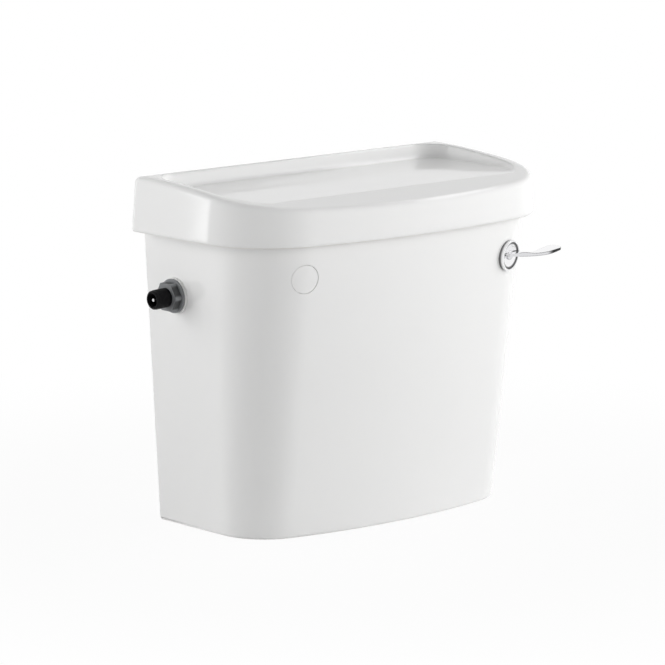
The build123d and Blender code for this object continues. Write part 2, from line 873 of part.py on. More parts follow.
def make_inlet_washer():
    return inlet_frame * ring(
        inlet_washer_diameter / 2, tail_radius + thread_clearance, face_clearance, face_clearance + inlet_washer
    )


def make_inlet_nut():
    low = face_clearance + inlet_washer
    nut = hexagon(inlet_nut_flats, low, low + inlet_nut)
    nut += rod(inlet_nut_flange_diameter / 2, low, low + inlet_nut_flange)
    return inlet_frame * (nut - rod(tail_radius + thread_clearance, low - overrun, low + inlet_nut + overrun))


def make_inlet_seal():
    return inlet_frame * ring(inlet_seal_diameter / 2, tail_radius + thread_clearance, flange_face, seal_face)


def make_valve_body():
    thread_end = face_clearance + inlet_washer + inlet_nut + thread_proud
    body = rod(tail_free_thread / 2, flange_face, tail_length)
    body = chamfer(body.edges().sort_by(Axis.Z)[-1], tail_chamfer)
    body += rod(tail_radius, flange_face, thread_end)
    body += rod(valve_flange_diameter / 2, barrel_face, flange_face)
    body += rod(valve_barrel / 2, head_face, barrel_face) + rod(valve_head / 2, head_end, head_face)
    body -= rod(tail_bore / 2, barrel_face, tail_length + overrun)
    body -= rod(valve_seat_bore / 2, head_end - overrun, barrel_face + overrun)
    up = Plane(origin=(0, 0, barrel_face - valve_barrel_length * spout_place_share), z_dir=(0, 1, 0))
    body -= up * rod(spout_bore / 2, 0, valve_head)
    return inlet_frame * body


def make_strainer():
    """Cup strainer in the tail's bore, with the pin that it is drawn out by."""
    outer = tail_bore / 2 - thread_clearance
    low = tail_length - strainer_length
    cup = rod(outer, low, tail_length - strainer_flange)
    cup -= rod(outer - strainer_skin, low + strainer_skin, tail_length)
    return inlet_frame * (cup + rod(strainer_pin / 2, low, tail_length - strainer_flange))


def make_diaphragm():
    return inlet_frame * rod(valve_head / 2 - diaphragm_inset, diaphragm_end, head_end)


def make_end_cap():
    """Cap that holds the diaphragm, guides the plunger and carries the float arm's two ears."""
    cap = rod(valve_head / 2, cap_end, diaphragm_end) + rod(end_cap_boss / 2, boss_end, cap_end)
    outside = ear_gap / 2 + ear_thickness
    block_high = lip_end - seat_clearance
    deep = pivot_drop + ear_width / 2
    block = Pos(0, -deep / 2, (block_high + boss_end) / 2) * Box(2 * outside, deep, block_high - boss_end)
    cap += block
    ear_end = pivot_z - ear_width / 2
    for side in (-1, 1):
        x = side * (ear_gap + ear_thickness) / 2
        ear = Box(ear_thickness, ear_width, boss_end - ear_end)
        ear = fillet(ear.edges().filter_by(Axis.X).group_by(Axis.Z)[0], ear_width / 3)
        cap += Pos(x, -pivot_drop, (boss_end + ear_end) / 2) * ear
    cap -= rod(plunger_diameter / 2 + running_clearance, boss_end - overrun, diaphragm_end + overrun)
    pin = Plane(origin=(-valve_head, -pivot_drop, pivot_z), z_dir=(1, 0, 0))
    cap -= pin * rod(pivot_pin / 2 + thread_clearance, 0, 2 * valve_head)
    return inlet_frame * cap


def make_union_nut():
    """Ribbed nut with an inner lip that clamps the cap and the diaphragm to the valve's head."""
    bore = valve_head / 2 + thread_clearance
    outer = bore + union_nut_wall
    high = head_end + union_nut_grip
    nut = rod(outer, lip_end, high) - rod(bore, cap_end, high + overrun)
    nut -= rod(end_cap_boss / 2 + thread_clearance, lip_end - overrun, high)
    rib = rod(union_rib / 2, lip_end, high, outer)
    for i in range(union_nut_ribs):
        nut += Rot(0, 0, i * 360 / union_nut_ribs) * rib
    return inlet_frame * nut


def make_spout():
    """Bent pipe that rises from the valve's barrel, turns to the front and pours down beside it."""
    z = barrel_face - valve_barrel_length * spout_place_share
    low, high = valve_barrel / 2, valve_barrel / 2 + spout_rise
    across = valve_barrel / 2 + spout_reach
    points = [(0, low, z), (0, high, z), (across, high, z), (across, high - spout_drop - spout_rise, z)]
    path = FilletPolyline(*points, radius=spout_bend_radius)
    start = Plane(origin=points[0], z_dir=(0, 1, 0))
    spout = sweep(start * (Circle(spout_tube / 2) - Circle(spout_bore / 2)), path=path)
    barrel = rod(valve_barrel / 2 + face_clearance, head_face, barrel_face)
    return inlet_frame * (spout - barrel)


# Plunger, float arm and float

plunger_travel = pivot_drop * radians(float_swing_angle)
plunger_rest_in = diaphragm_end - plunger_travel - seat_clearance
plunger_rest_out = plunger_rest_in - plunger_length
pivot_z = plunger_rest_out + plunger_travel / 2
pivot = inlet_frame.from_local_coords((0, -pivot_drop, pivot_z))
closed_frame = Plane(origin=pivot, x_dir=inlet_frame.z_dir * -1, z_dir=(0, -1, 0))
float_frame = Plane(closed_frame.location * Rot(0, 0, -float_swing_angle))


def make_plunger():
    return inlet_frame * rod(plunger_diameter / 2, plunger_rest_out, plunger_rest_in)


def make_pivot_pin():
    outside = ear_gap / 2 + ear_thickness
    pin = Plane(origin=(-outside, -pivot_drop, pivot_z), z_dir=(1, 0, 0))
    return inlet_frame * (pin * rod(pivot_pin / 2, 0, 2 * outside))


screw_tip = -plunger_travel / 2 + linkage_clearance
level_boss_x = level_boss / 2 + face_clearance


def make_float_arm():
    width = ear_gap - 2 * arm_side_clearance
    hub = extrude(Circle(arm_hub_diameter / 2), width / 2, both=True)
    top = pivot_drop + level_boss / 2
    upright = Pos(level_boss_x + level_boss_length / 2, top / 2) * Rectangle(level_boss_length, top)
    bar = Pos(float_reach / 2, 0) * Rectangle(float_reach, float_bar_height)
    arm = hub + extrude(upright, width / 2, both=True) + extrude(bar, float_bar_width / 2, both=True)
    post = Plane(origin=(float_reach, -float_drop - float_post, 0), z_dir=(0, 1, 0))
    arm += post * rod(float_post / 2, 0, float_drop + float_post + float_bar_height / 2)
    arm -= extrude(Circle(pivot_pin / 2 + running_clearance), width, both=True)
    hole = Plane(origin=(0, pivot_drop, 0), z_dir=(1, 0, 0))
    arm -= hole * rod(level_screw / 2 + thread_clearance, 0, level_boss_x + level_boss_length + overrun)
    return float_frame * arm


def make_level_screw():
    along = Plane(origin=(screw_tip, pivot_drop, 0), z_dir=(1, 0, 0))
    screw = rod(level_screw / 2, 0, level_screw_length)
    screw = fillet(screw.edges().sort_by(Axis.Z)[0], level_screw * screw_tip_share)
    head = rod(level_screw_head / 2, level_screw_length, level_screw_length + level_screw_head_height)
    return float_frame * (along * (screw + head))


def make_level_nut():
    along = Plane(origin=(level_boss_x + level_boss_length, pivot_drop, 0), z_dir=(1, 0, 0))
    nut = hexagon(level_nut_flats, 0, level_nut)
    nut -= rod(level_screw / 2 + thread_clearance, -overrun, level_nut + overrun)
    return float_frame * (along * nut)


def make_float():
    """Closed float with round edges and a socket for the arm's post."""
    box = Box(float_length, float_height, float_width)
    box = fillet(box.edges(), float_edge_radius)
    body = Pos(float_reach, -float_drop - float_height / 2, 0) * box
    socket = Plane(origin=(float_reach, -float_drop - float_post - overrun, 0), z_dir=(0, 1, 0))
    body -= socket * rod(float_post / 2 + thread_clearance, 0, float_post + 2 * overrun)
    return float_frame * body


pieces = {
    "cistern_tank": make_tank,
    "lid": make_lid,
    "lever_plate": make_plate,
    "lever_bush": make_bush,
    "lever_washer": make_lever_washer,
    "lever_backnut": make_lever_nut,
    "lever_handle": make_handle,
    "lever_spindle": make_spindle,
    "lever_inner_arm": make_inner_arm,
    "lever_arm_screw": make_arm_screw,
    "blanking_plug": make_plug,
    "blanking_plug_nut": make_plug_nut,
    "siphon_body": make_siphon_body,
    "siphon_crown": make_siphon_crown,
    "siphon_leg": make_siphon_leg,
    "siphon_washer": make_siphon_washer,
    "siphon_backnut": make_siphon_nut,
    "siphon_base_ring": make_base_ring,
    "piston_plate": make_piston_plate,
    "piston_flap": make_flap,
    "piston_flap_washer": make_flap_washer,
    "piston_nut": make_piston_nut,
    "piston_rod": make_piston_rod,
    "lift_link": make_lift_link,
    "inlet_washer": make_inlet_washer,
    "inlet_backnut": make_inlet_nut,
    "inlet_seal": make_inlet_seal,
    "inlet_valve_body": make_valve_body,
    "inlet_strainer": make_strainer,
    "valve_diaphragm": make_diaphragm,
    "valve_end_cap": make_end_cap,
    "valve_union_nut": make_union_nut,
    "valve_spout": make_spout,
    "valve_plunger": make_plunger,
    "float_pivot_pin": make_pivot_pin,
    "float_arm": make_float_arm,
    "level_screw": make_level_screw,
    "level_screw_nut": make_level_nut,
    "float": make_float,
}

for name, make in pieces.items():
    export_step(make(), f"parts/{name}.step")
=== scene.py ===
import bmesh
import bpy
import json
from math import cos, pi, radians, sin
from mathutils import Matrix, Vector


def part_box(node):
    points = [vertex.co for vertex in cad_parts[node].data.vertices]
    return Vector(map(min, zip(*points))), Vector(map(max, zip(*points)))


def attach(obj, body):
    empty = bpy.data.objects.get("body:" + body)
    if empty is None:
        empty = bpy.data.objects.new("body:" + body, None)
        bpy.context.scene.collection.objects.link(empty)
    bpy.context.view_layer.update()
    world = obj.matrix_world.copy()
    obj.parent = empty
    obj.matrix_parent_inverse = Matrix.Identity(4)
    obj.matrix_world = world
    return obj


bl_info = {
    "name": "Toilet Cistern Finishes",
    "version": (1, 0, 0),
    "blender": (4, 5, 0),
    "location": "View3D > Sidebar > Cistern",
    "description": "Glaze, plating, threads and studio for a close coupled toilet cistern",
    "category": "Object",
}

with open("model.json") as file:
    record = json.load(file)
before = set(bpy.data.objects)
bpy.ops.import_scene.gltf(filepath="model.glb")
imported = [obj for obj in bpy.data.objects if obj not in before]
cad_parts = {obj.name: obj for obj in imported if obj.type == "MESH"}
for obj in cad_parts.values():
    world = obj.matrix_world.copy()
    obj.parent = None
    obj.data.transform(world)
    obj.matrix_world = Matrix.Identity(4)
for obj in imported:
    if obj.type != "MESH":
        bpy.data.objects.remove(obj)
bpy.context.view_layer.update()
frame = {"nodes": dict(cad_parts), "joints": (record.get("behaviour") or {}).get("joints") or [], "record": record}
nodes = frame["nodes"]
slot_colours = {m["slot"]: tuple(m["base_color"]) for m in frame["record"]["materials"]}
millimetre = 0.001
white = (1.0, 1.0, 1.0, 1.0)


# Settings that a user would change

def colour(slot, label):
    """Colour property whose default is the record's colour for that slot."""
    return bpy.props.FloatVectorProperty(
        name=label, description=f"Base colour of the {label.lower()}",
        subtype="COLOR", size=3, min=0.0, max=1.0, default=slot_colours[slot],
    )


def length(label, description, default):
    """Length property, in metres."""
    return bpy.props.FloatProperty(
        name=label, description=description, default=default, min=0.0, unit="LENGTH", precision=5,
    )


def angle(label, description, degrees):
    """Angle property, whose default is given in degrees."""
    return bpy.props.FloatProperty(
        name=label, description=description, default=radians(degrees), subtype="ANGLE",
    )


def power(label, description, default):
    """Power property, in watts."""
    return bpy.props.FloatProperty(
        name=label, description=description, default=default, min=0.0, unit="POWER",
    )


def number(label, description, default):
    """Plain number property that can't go below 0."""
    return bpy.props.FloatProperty(name=label, description=description, default=default, min=0.0)


class CisternColours(bpy.types.PropertyGroup):
    """Base colours of the cistern's materials"""
    china: colour("china", "China")
    chrome: colour("chrome", "Chrome")
    black_plastic: colour("black_plastic", "Black plastic")
    grey_plastic: colour("grey_plastic", "Grey plastic")
    white_plastic: colour("white_plastic", "White plastic")
    rubber: colour("rubber", "Rubber")
    steel: colour("steel", "Steel")
    brass: colour("brass", "Brass")
    bare_china: bpy.props.FloatVectorProperty(
        name="Bare china", description="Colour of the unglazed foot",
        subtype="COLOR", size=3, min=0.0, max=1.0, default=(0.78, 0.74, 0.68),
    )


class CisternSizes(bpy.types.PropertyGroup):
    """Sizes of the details that are added to the frame's pieces"""
    glaze_wave: length("Glaze wave", "Distance between the soft waves in the glaze", 0.045)
    glaze_wave_depth: length("Glaze wave depth", "Depth of the soft waves in the glaze", 0.00006)
    bare_foot: length("Bare foot", "Height of the unglazed band at each china foot", 0.0008)
    thread_pitch: length("Thread pitch", "Pitch of the pipe thread on the inlet's tail", 0.001814)
    thread_height: length("Thread height", "Height of the thread's ridge over the tail", 0.00045)
    nut_flats: length("Nut flats", "Distance across the flats of the inlet's nut", 0.03)
    strainer_pin: length("Strainer pin", "Diameter of the strainer's pin", 0.0034)
    edge_width: length("Edge width", "Width of the rounding on moulded edges", 0.0004)
    # blade_edge places the painted dark reflection lines on the lever's blade.
    blade_edge: length("Blade edge", "Radius that the plating shows on the lever's edges", 0.0016)
    tank_edge: length("Tank edge", "Radius that the glaze shows on the tank's edges", 0.001)
    lid_edge: length("Lid edge", "Radius that the glaze shows on the lid's edges", 0.006)


class CisternStudio(bpy.types.PropertyGroup):
    """Camera, floor, lamps and surrounding light"""
    azimuth: angle("Azimuth", "Camera's turn round the cistern", -41.706)
    elevation: angle("Elevation", "Camera's height above the horizon", 10.482)
    distance: length("Distance", "Camera's distance from the cistern", 4.5469)
    lens: bpy.props.FloatProperty(name="Lens", description="Focal length", default=222.11, unit="CAMERA")
    floor_radius: length("Floor radius", "Radius of the pale floor", 2.4)
    even: number("Even light", "Strength of the light from all round", 0.03)
    left: number("Left light", "Strength of the soft light from the left and behind", 2.65)
    right: number("Right light", "Strength of the soft light from the right and in front", 2.8)
    left_edge: number("Left light's edge", "Cosine of the angle at which the left light ends", 0.4)
    right_edge: number("Right light's edge", "Cosine of the angle at which the right light ends", 0.27)
    shade_above: number("Shade above", "Share of the soft light that is held back overhead", 0.6)
    left_turn: angle("Left turn", "Azimuth of the middle of the left light", -138.0)
    right_turn: angle("Right turn", "Azimuth of the middle of the right light", 43.0)
    lamp_distance: length("Lamp distance", "Distance of the two lamps", 1.65)
    strip: power("Strip lamp", "Power of the upright lamp", 2.1)
    strip_turn: angle("Strip turn", "Azimuth of the upright lamp", -130.0)
    strip_width: length("Strip width", "Width of the upright lamp", 0.2)
    strip_height: length("Strip height", "Height of the upright lamp", 1.4)
    rim: power("Rim lamp", "Power of the high lamp that lights the lid's rim", 2.5)
    rim_turn: angle("Rim turn", "Azimuth of the high lamp", 88.0)
    rim_rise: angle("Rim rise", "Height of the high lamp above the horizon", 47.0)
    rim_width: length("Rim width", "Width of the high lamp", 1.5)
    rim_height: length("Rim height", "Height of the high lamp", 0.25)


def settings():
    """The scene's colours, sizes and studio."""
    scene = bpy.context.scene
    return scene.cistern_colours, scene.cistern_sizes, scene.cistern_studio


# Shader maths

class Amount:
    """A number socket of a finish, so that shader maths reads as a plain expression."""

    def __init__(self, finish, socket):
        self.finish, self.socket = finish, socket

    def maths(self, operation, *terms):
        """Result of a Math node on these terms."""
        node = self.finish.node(
            "ShaderNodeMath", {"operation": operation}, {i: term for i, term in enumerate(terms)}
        )
        return Amount(self.finish, node.outputs[0])

    def __add__(self, other):
        return self.maths("ADD", self, other)

    def __radd__(self, other):
        return self.maths("ADD", other, self)

    def __sub__(self, other):
        return self.maths("SUBTRACT", self, other)

    def __rsub__(self, other):
        return self.maths("SUBTRACT", other, self)

    def __mul__(self, other):
        return self.maths("MULTIPLY", self, other)

    def __rmul__(self, other):
        return self.maths("MULTIPLY", other, self)

    def __truediv__(self, other):
        return self.maths("DIVIDE", self, other)

    def __rtruediv__(self, other):
        return self.maths("DIVIDE", other, self)

    def most(self, other):
        """The larger of the two."""
        return self.maths("MAXIMUM", self, other)

    def root(self):
        """Square root."""
        return self.maths("SQRT", self)

    def step(self, low, high):
        """0 below low, 1 above high and smooth between them."""
        node = self.finish.node(
            "ShaderNodeMapRange", {"interpolation_type": "SMOOTHSTEP"},
            {"Value": self, "From Min": low, "From Max": high},
        )
        return Amount(self.finish, node.outputs[0])


class Finish:
    """A material or world, and the nodes that make it."""

    def __init__(self, owner):
        self.owner = owner
        owner.use_nodes = True
        self.tree = owner.node_tree
        self.tree.nodes.clear()

    def node(self, kind, choices=None, values=None):
        """New node: its settings are set first, then the values or links of its sockets."""
        node = self.tree.nodes.new(kind)
        for name, choice in (choices or {}).items():
            setattr(node, name, choice)
        for key, value in (values or {}).items():
            socket = node.inputs[key]
            if isinstance(value, Amount):
                value = value.socket
            if isinstance(value, bpy.types.NodeSocket):
                self.tree.links.new(value, socket)
            else:
                socket.default_value = value
        return node

    def place(self):
        """Point on the piece, in metres, which rides with it."""
        return self.node("ShaderNodeTexCoord").outputs["Object"]

    def normal(self):
        """Direction that the surface faces, which rides with the piece."""
        return self.node("ShaderNodeTexCoord").outputs["Normal"]

    def rounded(self, radius):
        """Direction that the surface would face if its edges had this radius."""
        return self.node("ShaderNodeBevel", {"samples": 8}, {"Radius": radius}).outputs["Normal"]

    def axes(self, vector):
        """The three numbers of a vector."""
        parts = self.node("ShaderNodeSeparateXYZ", None, {"Vector": vector}).outputs
        return [Amount(self, part) for part in parts]

    def along(self, vector, direction):
        """How far a vector points along a direction."""
        node = self.node("ShaderNodeVectorMath", {"operation": "DOT_PRODUCT"}, {0: vector, 1: direction})
        return Amount(self, node.outputs["Value"])

    def offset(self, start):
        """Vector from a fixed point to the surface, in metres."""
        node = self.node("ShaderNodeVectorMath", {"operation": "SUBTRACT"}, {0: self.place(), 1: start})
        return node.outputs["Vector"]

    def off_axis(self, start, out):
        """Distance of the surface from the axis that leaves a point that way, in millimetres."""
        offset = self.offset(start)
        past = self.along(offset, out)
        node = self.node("ShaderNodeVectorMath", {"operation": "LENGTH"}, {0: offset})
        straight = Amount(self, node.outputs["Value"])
        return (straight * straight - past * past).root() / millimetre

    def noise(self, wave, detail=2.0, roughness=0.5, vector=None):
        """Smooth random number from 0 to 1, whose waves are that many metres apart."""
        place = vector or self.place()
        node = self.node(
            "ShaderNodeTexNoise", None,
            {"Vector": place, "Scale": 1 / wave, "Detail": detail, "Roughness": roughness},
        )
        return Amount(self, node.outputs[0])

    def blend(self, share, low, high):
        """Colour between low and high. The Mix node's sockets share names, so they go by number."""
        share_in, low_in, high_in, colour_out = 0, 6, 7, 2
        values = {share_in: share, low_in: low, high_in: high}
        mix = self.node("ShaderNodeMix", {"data_type": "RGBA"}, values)
        return mix.outputs[colour_out]

    def bump(self, height, depth, normal=None):
        """Normal of a surface whose bumps are that many metres deep, on top of another normal."""
        values = {"Height": height, "Distance": depth}
        if normal:
            values["Normal"] = normal
        return self.node("ShaderNodeBump", None, values).outputs[0]

    def shader(self, values):
        """Principled surface with these values, set as the material's surface."""
        surface = self.node("ShaderNodeBsdfPrincipled", None, values)
        self.node("ShaderNodeOutputMaterial", None, {"Surface": surface.outputs[0]})
        return self.owner


def opaque(shade):
    """A shade with full alpha, as the nodes take it."""
    return (*shade[:3], 1.0)


# bright() makes the painted highlights on the lever's chrome.
def bright(shade):
    """Half way from a shade to white."""
    return (*((1 + part) / 2 for part in shade[:3]), 1.0)


def toned(shade, share):
    """A shade times a number, darker below 1 and paler above it."""
    return (*(part * share for part in shade[:3]), 1.0)


# Finishes
# Waves, depths and radii are in metres. Distances from an axis and along it are in millimetres.

def glazed_china(name, foot_height, edge_radius):
    """White glaze with soft waves and soft edges, bare and matt on the rim that it stands on."""
    cloud_wave, sheen_wave, grain_wave = 0.16, 0.03, 0.0011
    cloud_tone, grain_depth = 0.985, 0.00012
    glaze_roughness, uneven, bare_roughness = 0.06, 0.03, 0.7
    slanted, facing_down = 0.3, 0.8
    colours, sizes, _ = settings()
    finish = Finish(bpy.data.materials.new(name))
    height = finish.axes(finish.place())[2]
    down = finish.axes(finish.normal())[2] * -1.0
    low = 1 - height.step(foot_height + sizes.bare_foot / 2, foot_height + sizes.bare_foot)
    bare = low * down.step(slanted, facing_down)
    cloud = finish.noise(cloud_wave)
    glaze = finish.blend(cloud, toned(colours.china, cloud_tone), opaque(colours.china))
    grains = finish.noise(grain_wave, detail=3.0)
    waves = finish.noise(sizes.glaze_wave, detail=1.0)
    ripple = finish.bump(waves, sizes.glaze_wave_depth, finish.rounded(edge_radius))
    return finish.shader({
        "Base Color": finish.blend(bare, glaze, opaque(colours.bare_china)),
        "Roughness": glaze_roughness + finish.noise(sheen_wave) * uneven + bare * bare_roughness,
        "Coat Weight": 0.15 * (1 - bare),
        "Coat Roughness": 0.04,
        "IOR": 1.52,
        "Normal": finish.bump(grains * bare, grain_depth, ripple),
    })


def glossy_plug(name, shade):
    """White plastic, nearly as smooth and as white as the glaze round it."""
    cloud_wave, sheen_wave = 0.01, 0.004
    cloud_tone, roughness, uneven = 0.99, 0.08, 0.04
    finish = Finish(bpy.data.materials.new(name))
    return finish.shader({
        "Base Color": finish.blend(finish.noise(cloud_wave), toned(shade, cloud_tone), opaque(shade)),
        "Roughness": roughness + finish.noise(sheen_wave) * uneven,
        "IOR": 1.5,
    })


def plated(finish, tone):
    """Bright plate over a buffed casting."""
    buffing_wave, buffing_depth = 0.0007, 0.000004
    sheen_wave, roughness, uneven = 0.004, 0.07, 0.05
    return finish.shader({
        "Base Color": tone,
        "Metallic": 1.0,
        "Roughness": roughness + finish.noise(sheen_wave) * uneven,
        "Normal": finish.bump(finish.noise(buffing_wave), buffing_depth),
    })


def rose_plate(name, shade, start, out, rim):
    """Chrome of the lever's rose, with a painted highlight on the floor of its dish, a painted dark reflection up
    the wall of the dish and painted shade at its skirt.
    """
    wall_starts, wall_full, wall_fades, wall_ends = rim - 5.2, rim - 3.4, rim - 2.4, rim - 1.7
    skirt_starts, skirt_full = rim - 0.4, rim - 0.1
    skirt_low, skirt_high = 0.6, 3.2
    wall_reflection_tone, skirt_shade_tone = 0.14, 0.22
    finish = Finish(bpy.data.materials.new(name))
    apart = finish.off_axis(start, out)
    past = finish.along(finish.offset(start), out) / millimetre
    # Painted light: the dish's floor gets a painted highlight, the band up its wall a painted dark reflection and
    # the skirt painted shade.
    wall = apart.step(wall_starts, wall_full) * (1 - apart.step(wall_fades, wall_ends))
    skirt = apart.step(skirt_starts, skirt_full) * (1 - past.step(skirt_low, skirt_high))
    tone = finish.blend(wall, bright(shade), toned(shade, wall_reflection_tone))
    return plated(finish, finish.blend(skirt, tone, toned(shade, skirt_shade_tone)))


def blade_plate(name, shade, start, out, far_end):
    """Chrome of the lever's blade, with a painted highlight on its top, painted shade on its sides and painted
    dark reflections along its edge, under its lower edge and round its tip.
    """
    hub_ends, blade_starts = 6.0, 9.0
    line_starts, line_full, line_fades, line_ends = 0.08, 0.3, 0.75, 0.96
    upright, facing_up = 0.1, 0.6
    tip_starts, tip_full = far_end * 0.66, far_end * 0.8
    low_full, low_ends, low_weight = -0.6, -0.1, 0.7
    line_reflection_tone, side_shade_tone, low_edge_reflection_tone, tip_reflection_tone = 0.2, 0.9, 0.25, 0.03
    finish = Finish(bpy.data.materials.new(name))
    blade = finish.off_axis(start, out).step(hub_ends, blade_starts)
    right = finish.axes(finish.offset(start))[0] / millimetre
    up = finish.axes(finish.normal())[2]
    edge = finish.axes(finish.rounded(settings()[1].blade_edge))[2]
    # Painted light: the top keeps a painted highlight, the sides get painted shade, and the edge line, the lower
    # edge and the tip's underside get painted dark reflections.
    line = edge.step(line_starts, line_full) * (1 - edge.step(line_fades, line_ends)) * blade
    shaded_side = 1 - up.step(upright, facing_up)
    tip = right.step(tip_starts, tip_full) * shaded_side
    low = (1 - edge.step(low_full, low_ends)) * blade
    tone = finish.blend(shaded_side, bright(shade), toned(shade, side_shade_tone))
    tone = finish.blend(line, tone, toned(shade, line_reflection_tone))
    tone = finish.blend(low * low_weight, tone, toned(shade, low_edge_reflection_tone))
    return plated(finish, finish.blend(tip, tone, toned(shade, tip_reflection_tone)))


def fine_grain(finish):
    """Normal of the fine grain that a mould leaves."""
    grain_wave, grain_depth = 0.00035, 0.000012
    return finish.bump(finish.noise(grain_wave), grain_depth)


def moulded_plastic(name, shade, roughness, gloss=0.5):
    """Moulded plastic with a fine grain and slightly uneven gloss."""
    cloud_wave, cloud_tone, uneven = 0.012, 0.97, 0.1
    finish = Finish(bpy.data.materials.new(name))
    cloud = finish.noise(cloud_wave)
    return finish.shader({
        "Base Color": finish.blend(cloud, toned(shade, cloud_tone), opaque(shade)),
        "Roughness": roughness - uneven / 2 + cloud * uneven,
        "IOR": 1.49,
        "Specular IOR Level": gloss,
        "Normal": fine_grain(finish),
    })


def moulded_nut(name, shade, start, out, flats):
    """Grey plastic of the inlet's nut, with painted shade in the middle of each flat, a painted highlight at its
    corners, flange and outward face, and a little scuffing at random.
    """
    highlight_starts, highlight_full = flats / 2 + 0.5, flats / 2 + 1.9
    scuff_wave, scuff_weight = 0.004, 0.1
    slanted, facing_out, lit_face_weight = 0.3, 0.9, 0.8
    flat_shade_tone, highlight_tone = 0.4, 1.9
    sheen_wave, roughness, uneven = 0.002, 0.34, 0.1
    finish = Finish(bpy.data.materials.new(name))
    # Painted light: paler further from the axis and on faces that look out along it, darker in the middle of each
    # flat; the noise adds scuffs at random.
    highlight_and_scuff = finish.off_axis(start, out).step(highlight_starts, highlight_full) + finish.noise(scuff_wave) * scuff_weight
    face = finish.along(finish.normal(), out).step(slanted, facing_out) * lit_face_weight
    return finish.shader({
        "Base Color": finish.blend(highlight_and_scuff.most(face), toned(shade, flat_shade_tone), toned(shade, highlight_tone)),
        "Roughness": roughness + finish.noise(sheen_wave) * uneven,
        "IOR": 1.49,
        "Specular IOR Level": 0.3,
        "Normal": fine_grain(finish),
    })


def pinned_cup(name, shade, pin_shade, start, out, pin):
    """Strainer with a bright steel pin, and painted shade that makes its cup darker than its plastic, as dark as
    the tail that it sits in.
    """
    pin_edge, bore_shade_tone = 0.2, 0.6
    pin_roughness, cup_roughness = 0.25, 0.3
    sheen_wave, uneven = 0.002, 0.05
    finish = Finish(bpy.data.materials.new(name))
    cup = finish.off_axis(start, out).step(pin / 2, pin / 2 + pin_edge)
    # The cup's darker tone is painted shade of the tail's bore.
    return finish.shader({
        "Base Color": finish.blend(cup, opaque(pin_shade), toned(shade, bore_shade_tone)),
        "Metallic": 1 - cup,
        "Roughness": pin_roughness + cup * cup_roughness + finish.noise(sheen_wave) * uneven,
        "Specular IOR Level": 0.1,
    })


def dull_rubber(name, shade):
    """Matt rubber with a powdery bloom."""
    bloom_wave, bloom_starts, bloom_full, bloom_weight = 0.006, 0.45, 0.75, 0.35
    bloom_shade = (0.16, 0.16, 0.155, 1.0)
    grain_wave, grain_depth = 0.0005, 0.00003
    roughness, uneven = 0.68, 0.15
    finish = Finish(bpy.data.materials.new(name))
    cloud = finish.noise(bloom_wave, detail=4.0, roughness=0.6)
    bloom = cloud.step(bloom_starts, bloom_full) * bloom_weight
    return finish.shader({
        "Base Color": finish.blend(bloom, opaque(shade), bloom_shade),
        "Roughness": roughness + cloud * uneven,
        "Normal": finish.bump(finish.noise(grain_wave), grain_depth),
    })


def turned_metal(name, shade, roughness, tarnish):
    """Turned or drawn metal with fine lines and a little tarnish."""
    stretch, line_wave, line_depth, line_roughness = 0.15, 0.0002, 0.000008, 0.06
    stain_wave, stain_starts, stain_full = 0.009, 0.5, 0.8
    stain_tone, stain_roughness = 0.45, 0.2
    finish = Finish(bpy.data.materials.new(name))
    x, y, z = finish.axes(finish.place())
    stretched = finish.node("ShaderNodeCombineXYZ", None, {"X": x * stretch, "Y": y * stretch, "Z": z})
    lines = finish.noise(line_wave, detail=1.0, vector=stretched.outputs[0])
    stain = finish.noise(stain_wave, detail=4.0, roughness=0.6).step(stain_starts, stain_full)
    return finish.shader({
        "Base Color": finish.blend(stain * tarnish, opaque(shade), toned(shade, stain_tone)),
        "Metallic": 1.0,
        "Roughness": roughness + stain * stain_roughness + lines * line_roughness,
        "Normal": finish.bump(lines, line_depth),
    })


made_finishes = {}


def finish_for(slot):
    """The material of a slot, made once."""
    colours, _, _ = settings()
    if slot not in made_finishes:
        if slot == "rubber":
            made = dull_rubber("dull rubber", colours.rubber)
        elif slot == "steel":
            made = turned_metal("drawn steel", colours.steel, roughness=0.24, tarnish=0.1)
        elif slot == "brass":
            made = turned_metal("turned brass", colours.brass, roughness=0.22, tarnish=0.5)
        elif slot == "black_plastic":
            made = moulded_plastic("black plastic", colours.black_plastic, roughness=0.4, gloss=0.08)
        elif slot == "grey_plastic":
            made = moulded_plastic("grey plastic", colours.grey_plastic, roughness=0.36)
        elif slot == "white_plastic":
            made = moulded_plastic("white plastic", colours.white_plastic, roughness=0.28)
        else:
            raise RuntimeError(f"no finish is made for the slot {slot}")
        made_finishes[slot] = made
    return made_finishes[slot]


def dress(obj, material):
    """Puts one material on every face of a piece."""
    obj.data.materials.clear()
    obj.data.materials.append(material)


def soften(obj, width):
    """Rounds the sharp edges of a piece."""
    bevel = obj.modifiers.new("soft edges", "BEVEL")
    bevel.width = width
    bevel.segments = 2
    bevel.limit_method = "ANGLE"
    bevel.angle_limit = radians(38)


def dress_nodes(names, width=0.0):
    """Gives CAD nodes the finish of their slot, and rounds their edges where width is given."""
    slots = {part["node"]: part["material_slot"] for part in frame["record"]["subparts"]}
    for name in names:
        dress(nodes[name], finish_for(slots[name]))
        if width:
            soften(nodes[name], width)


# Thread

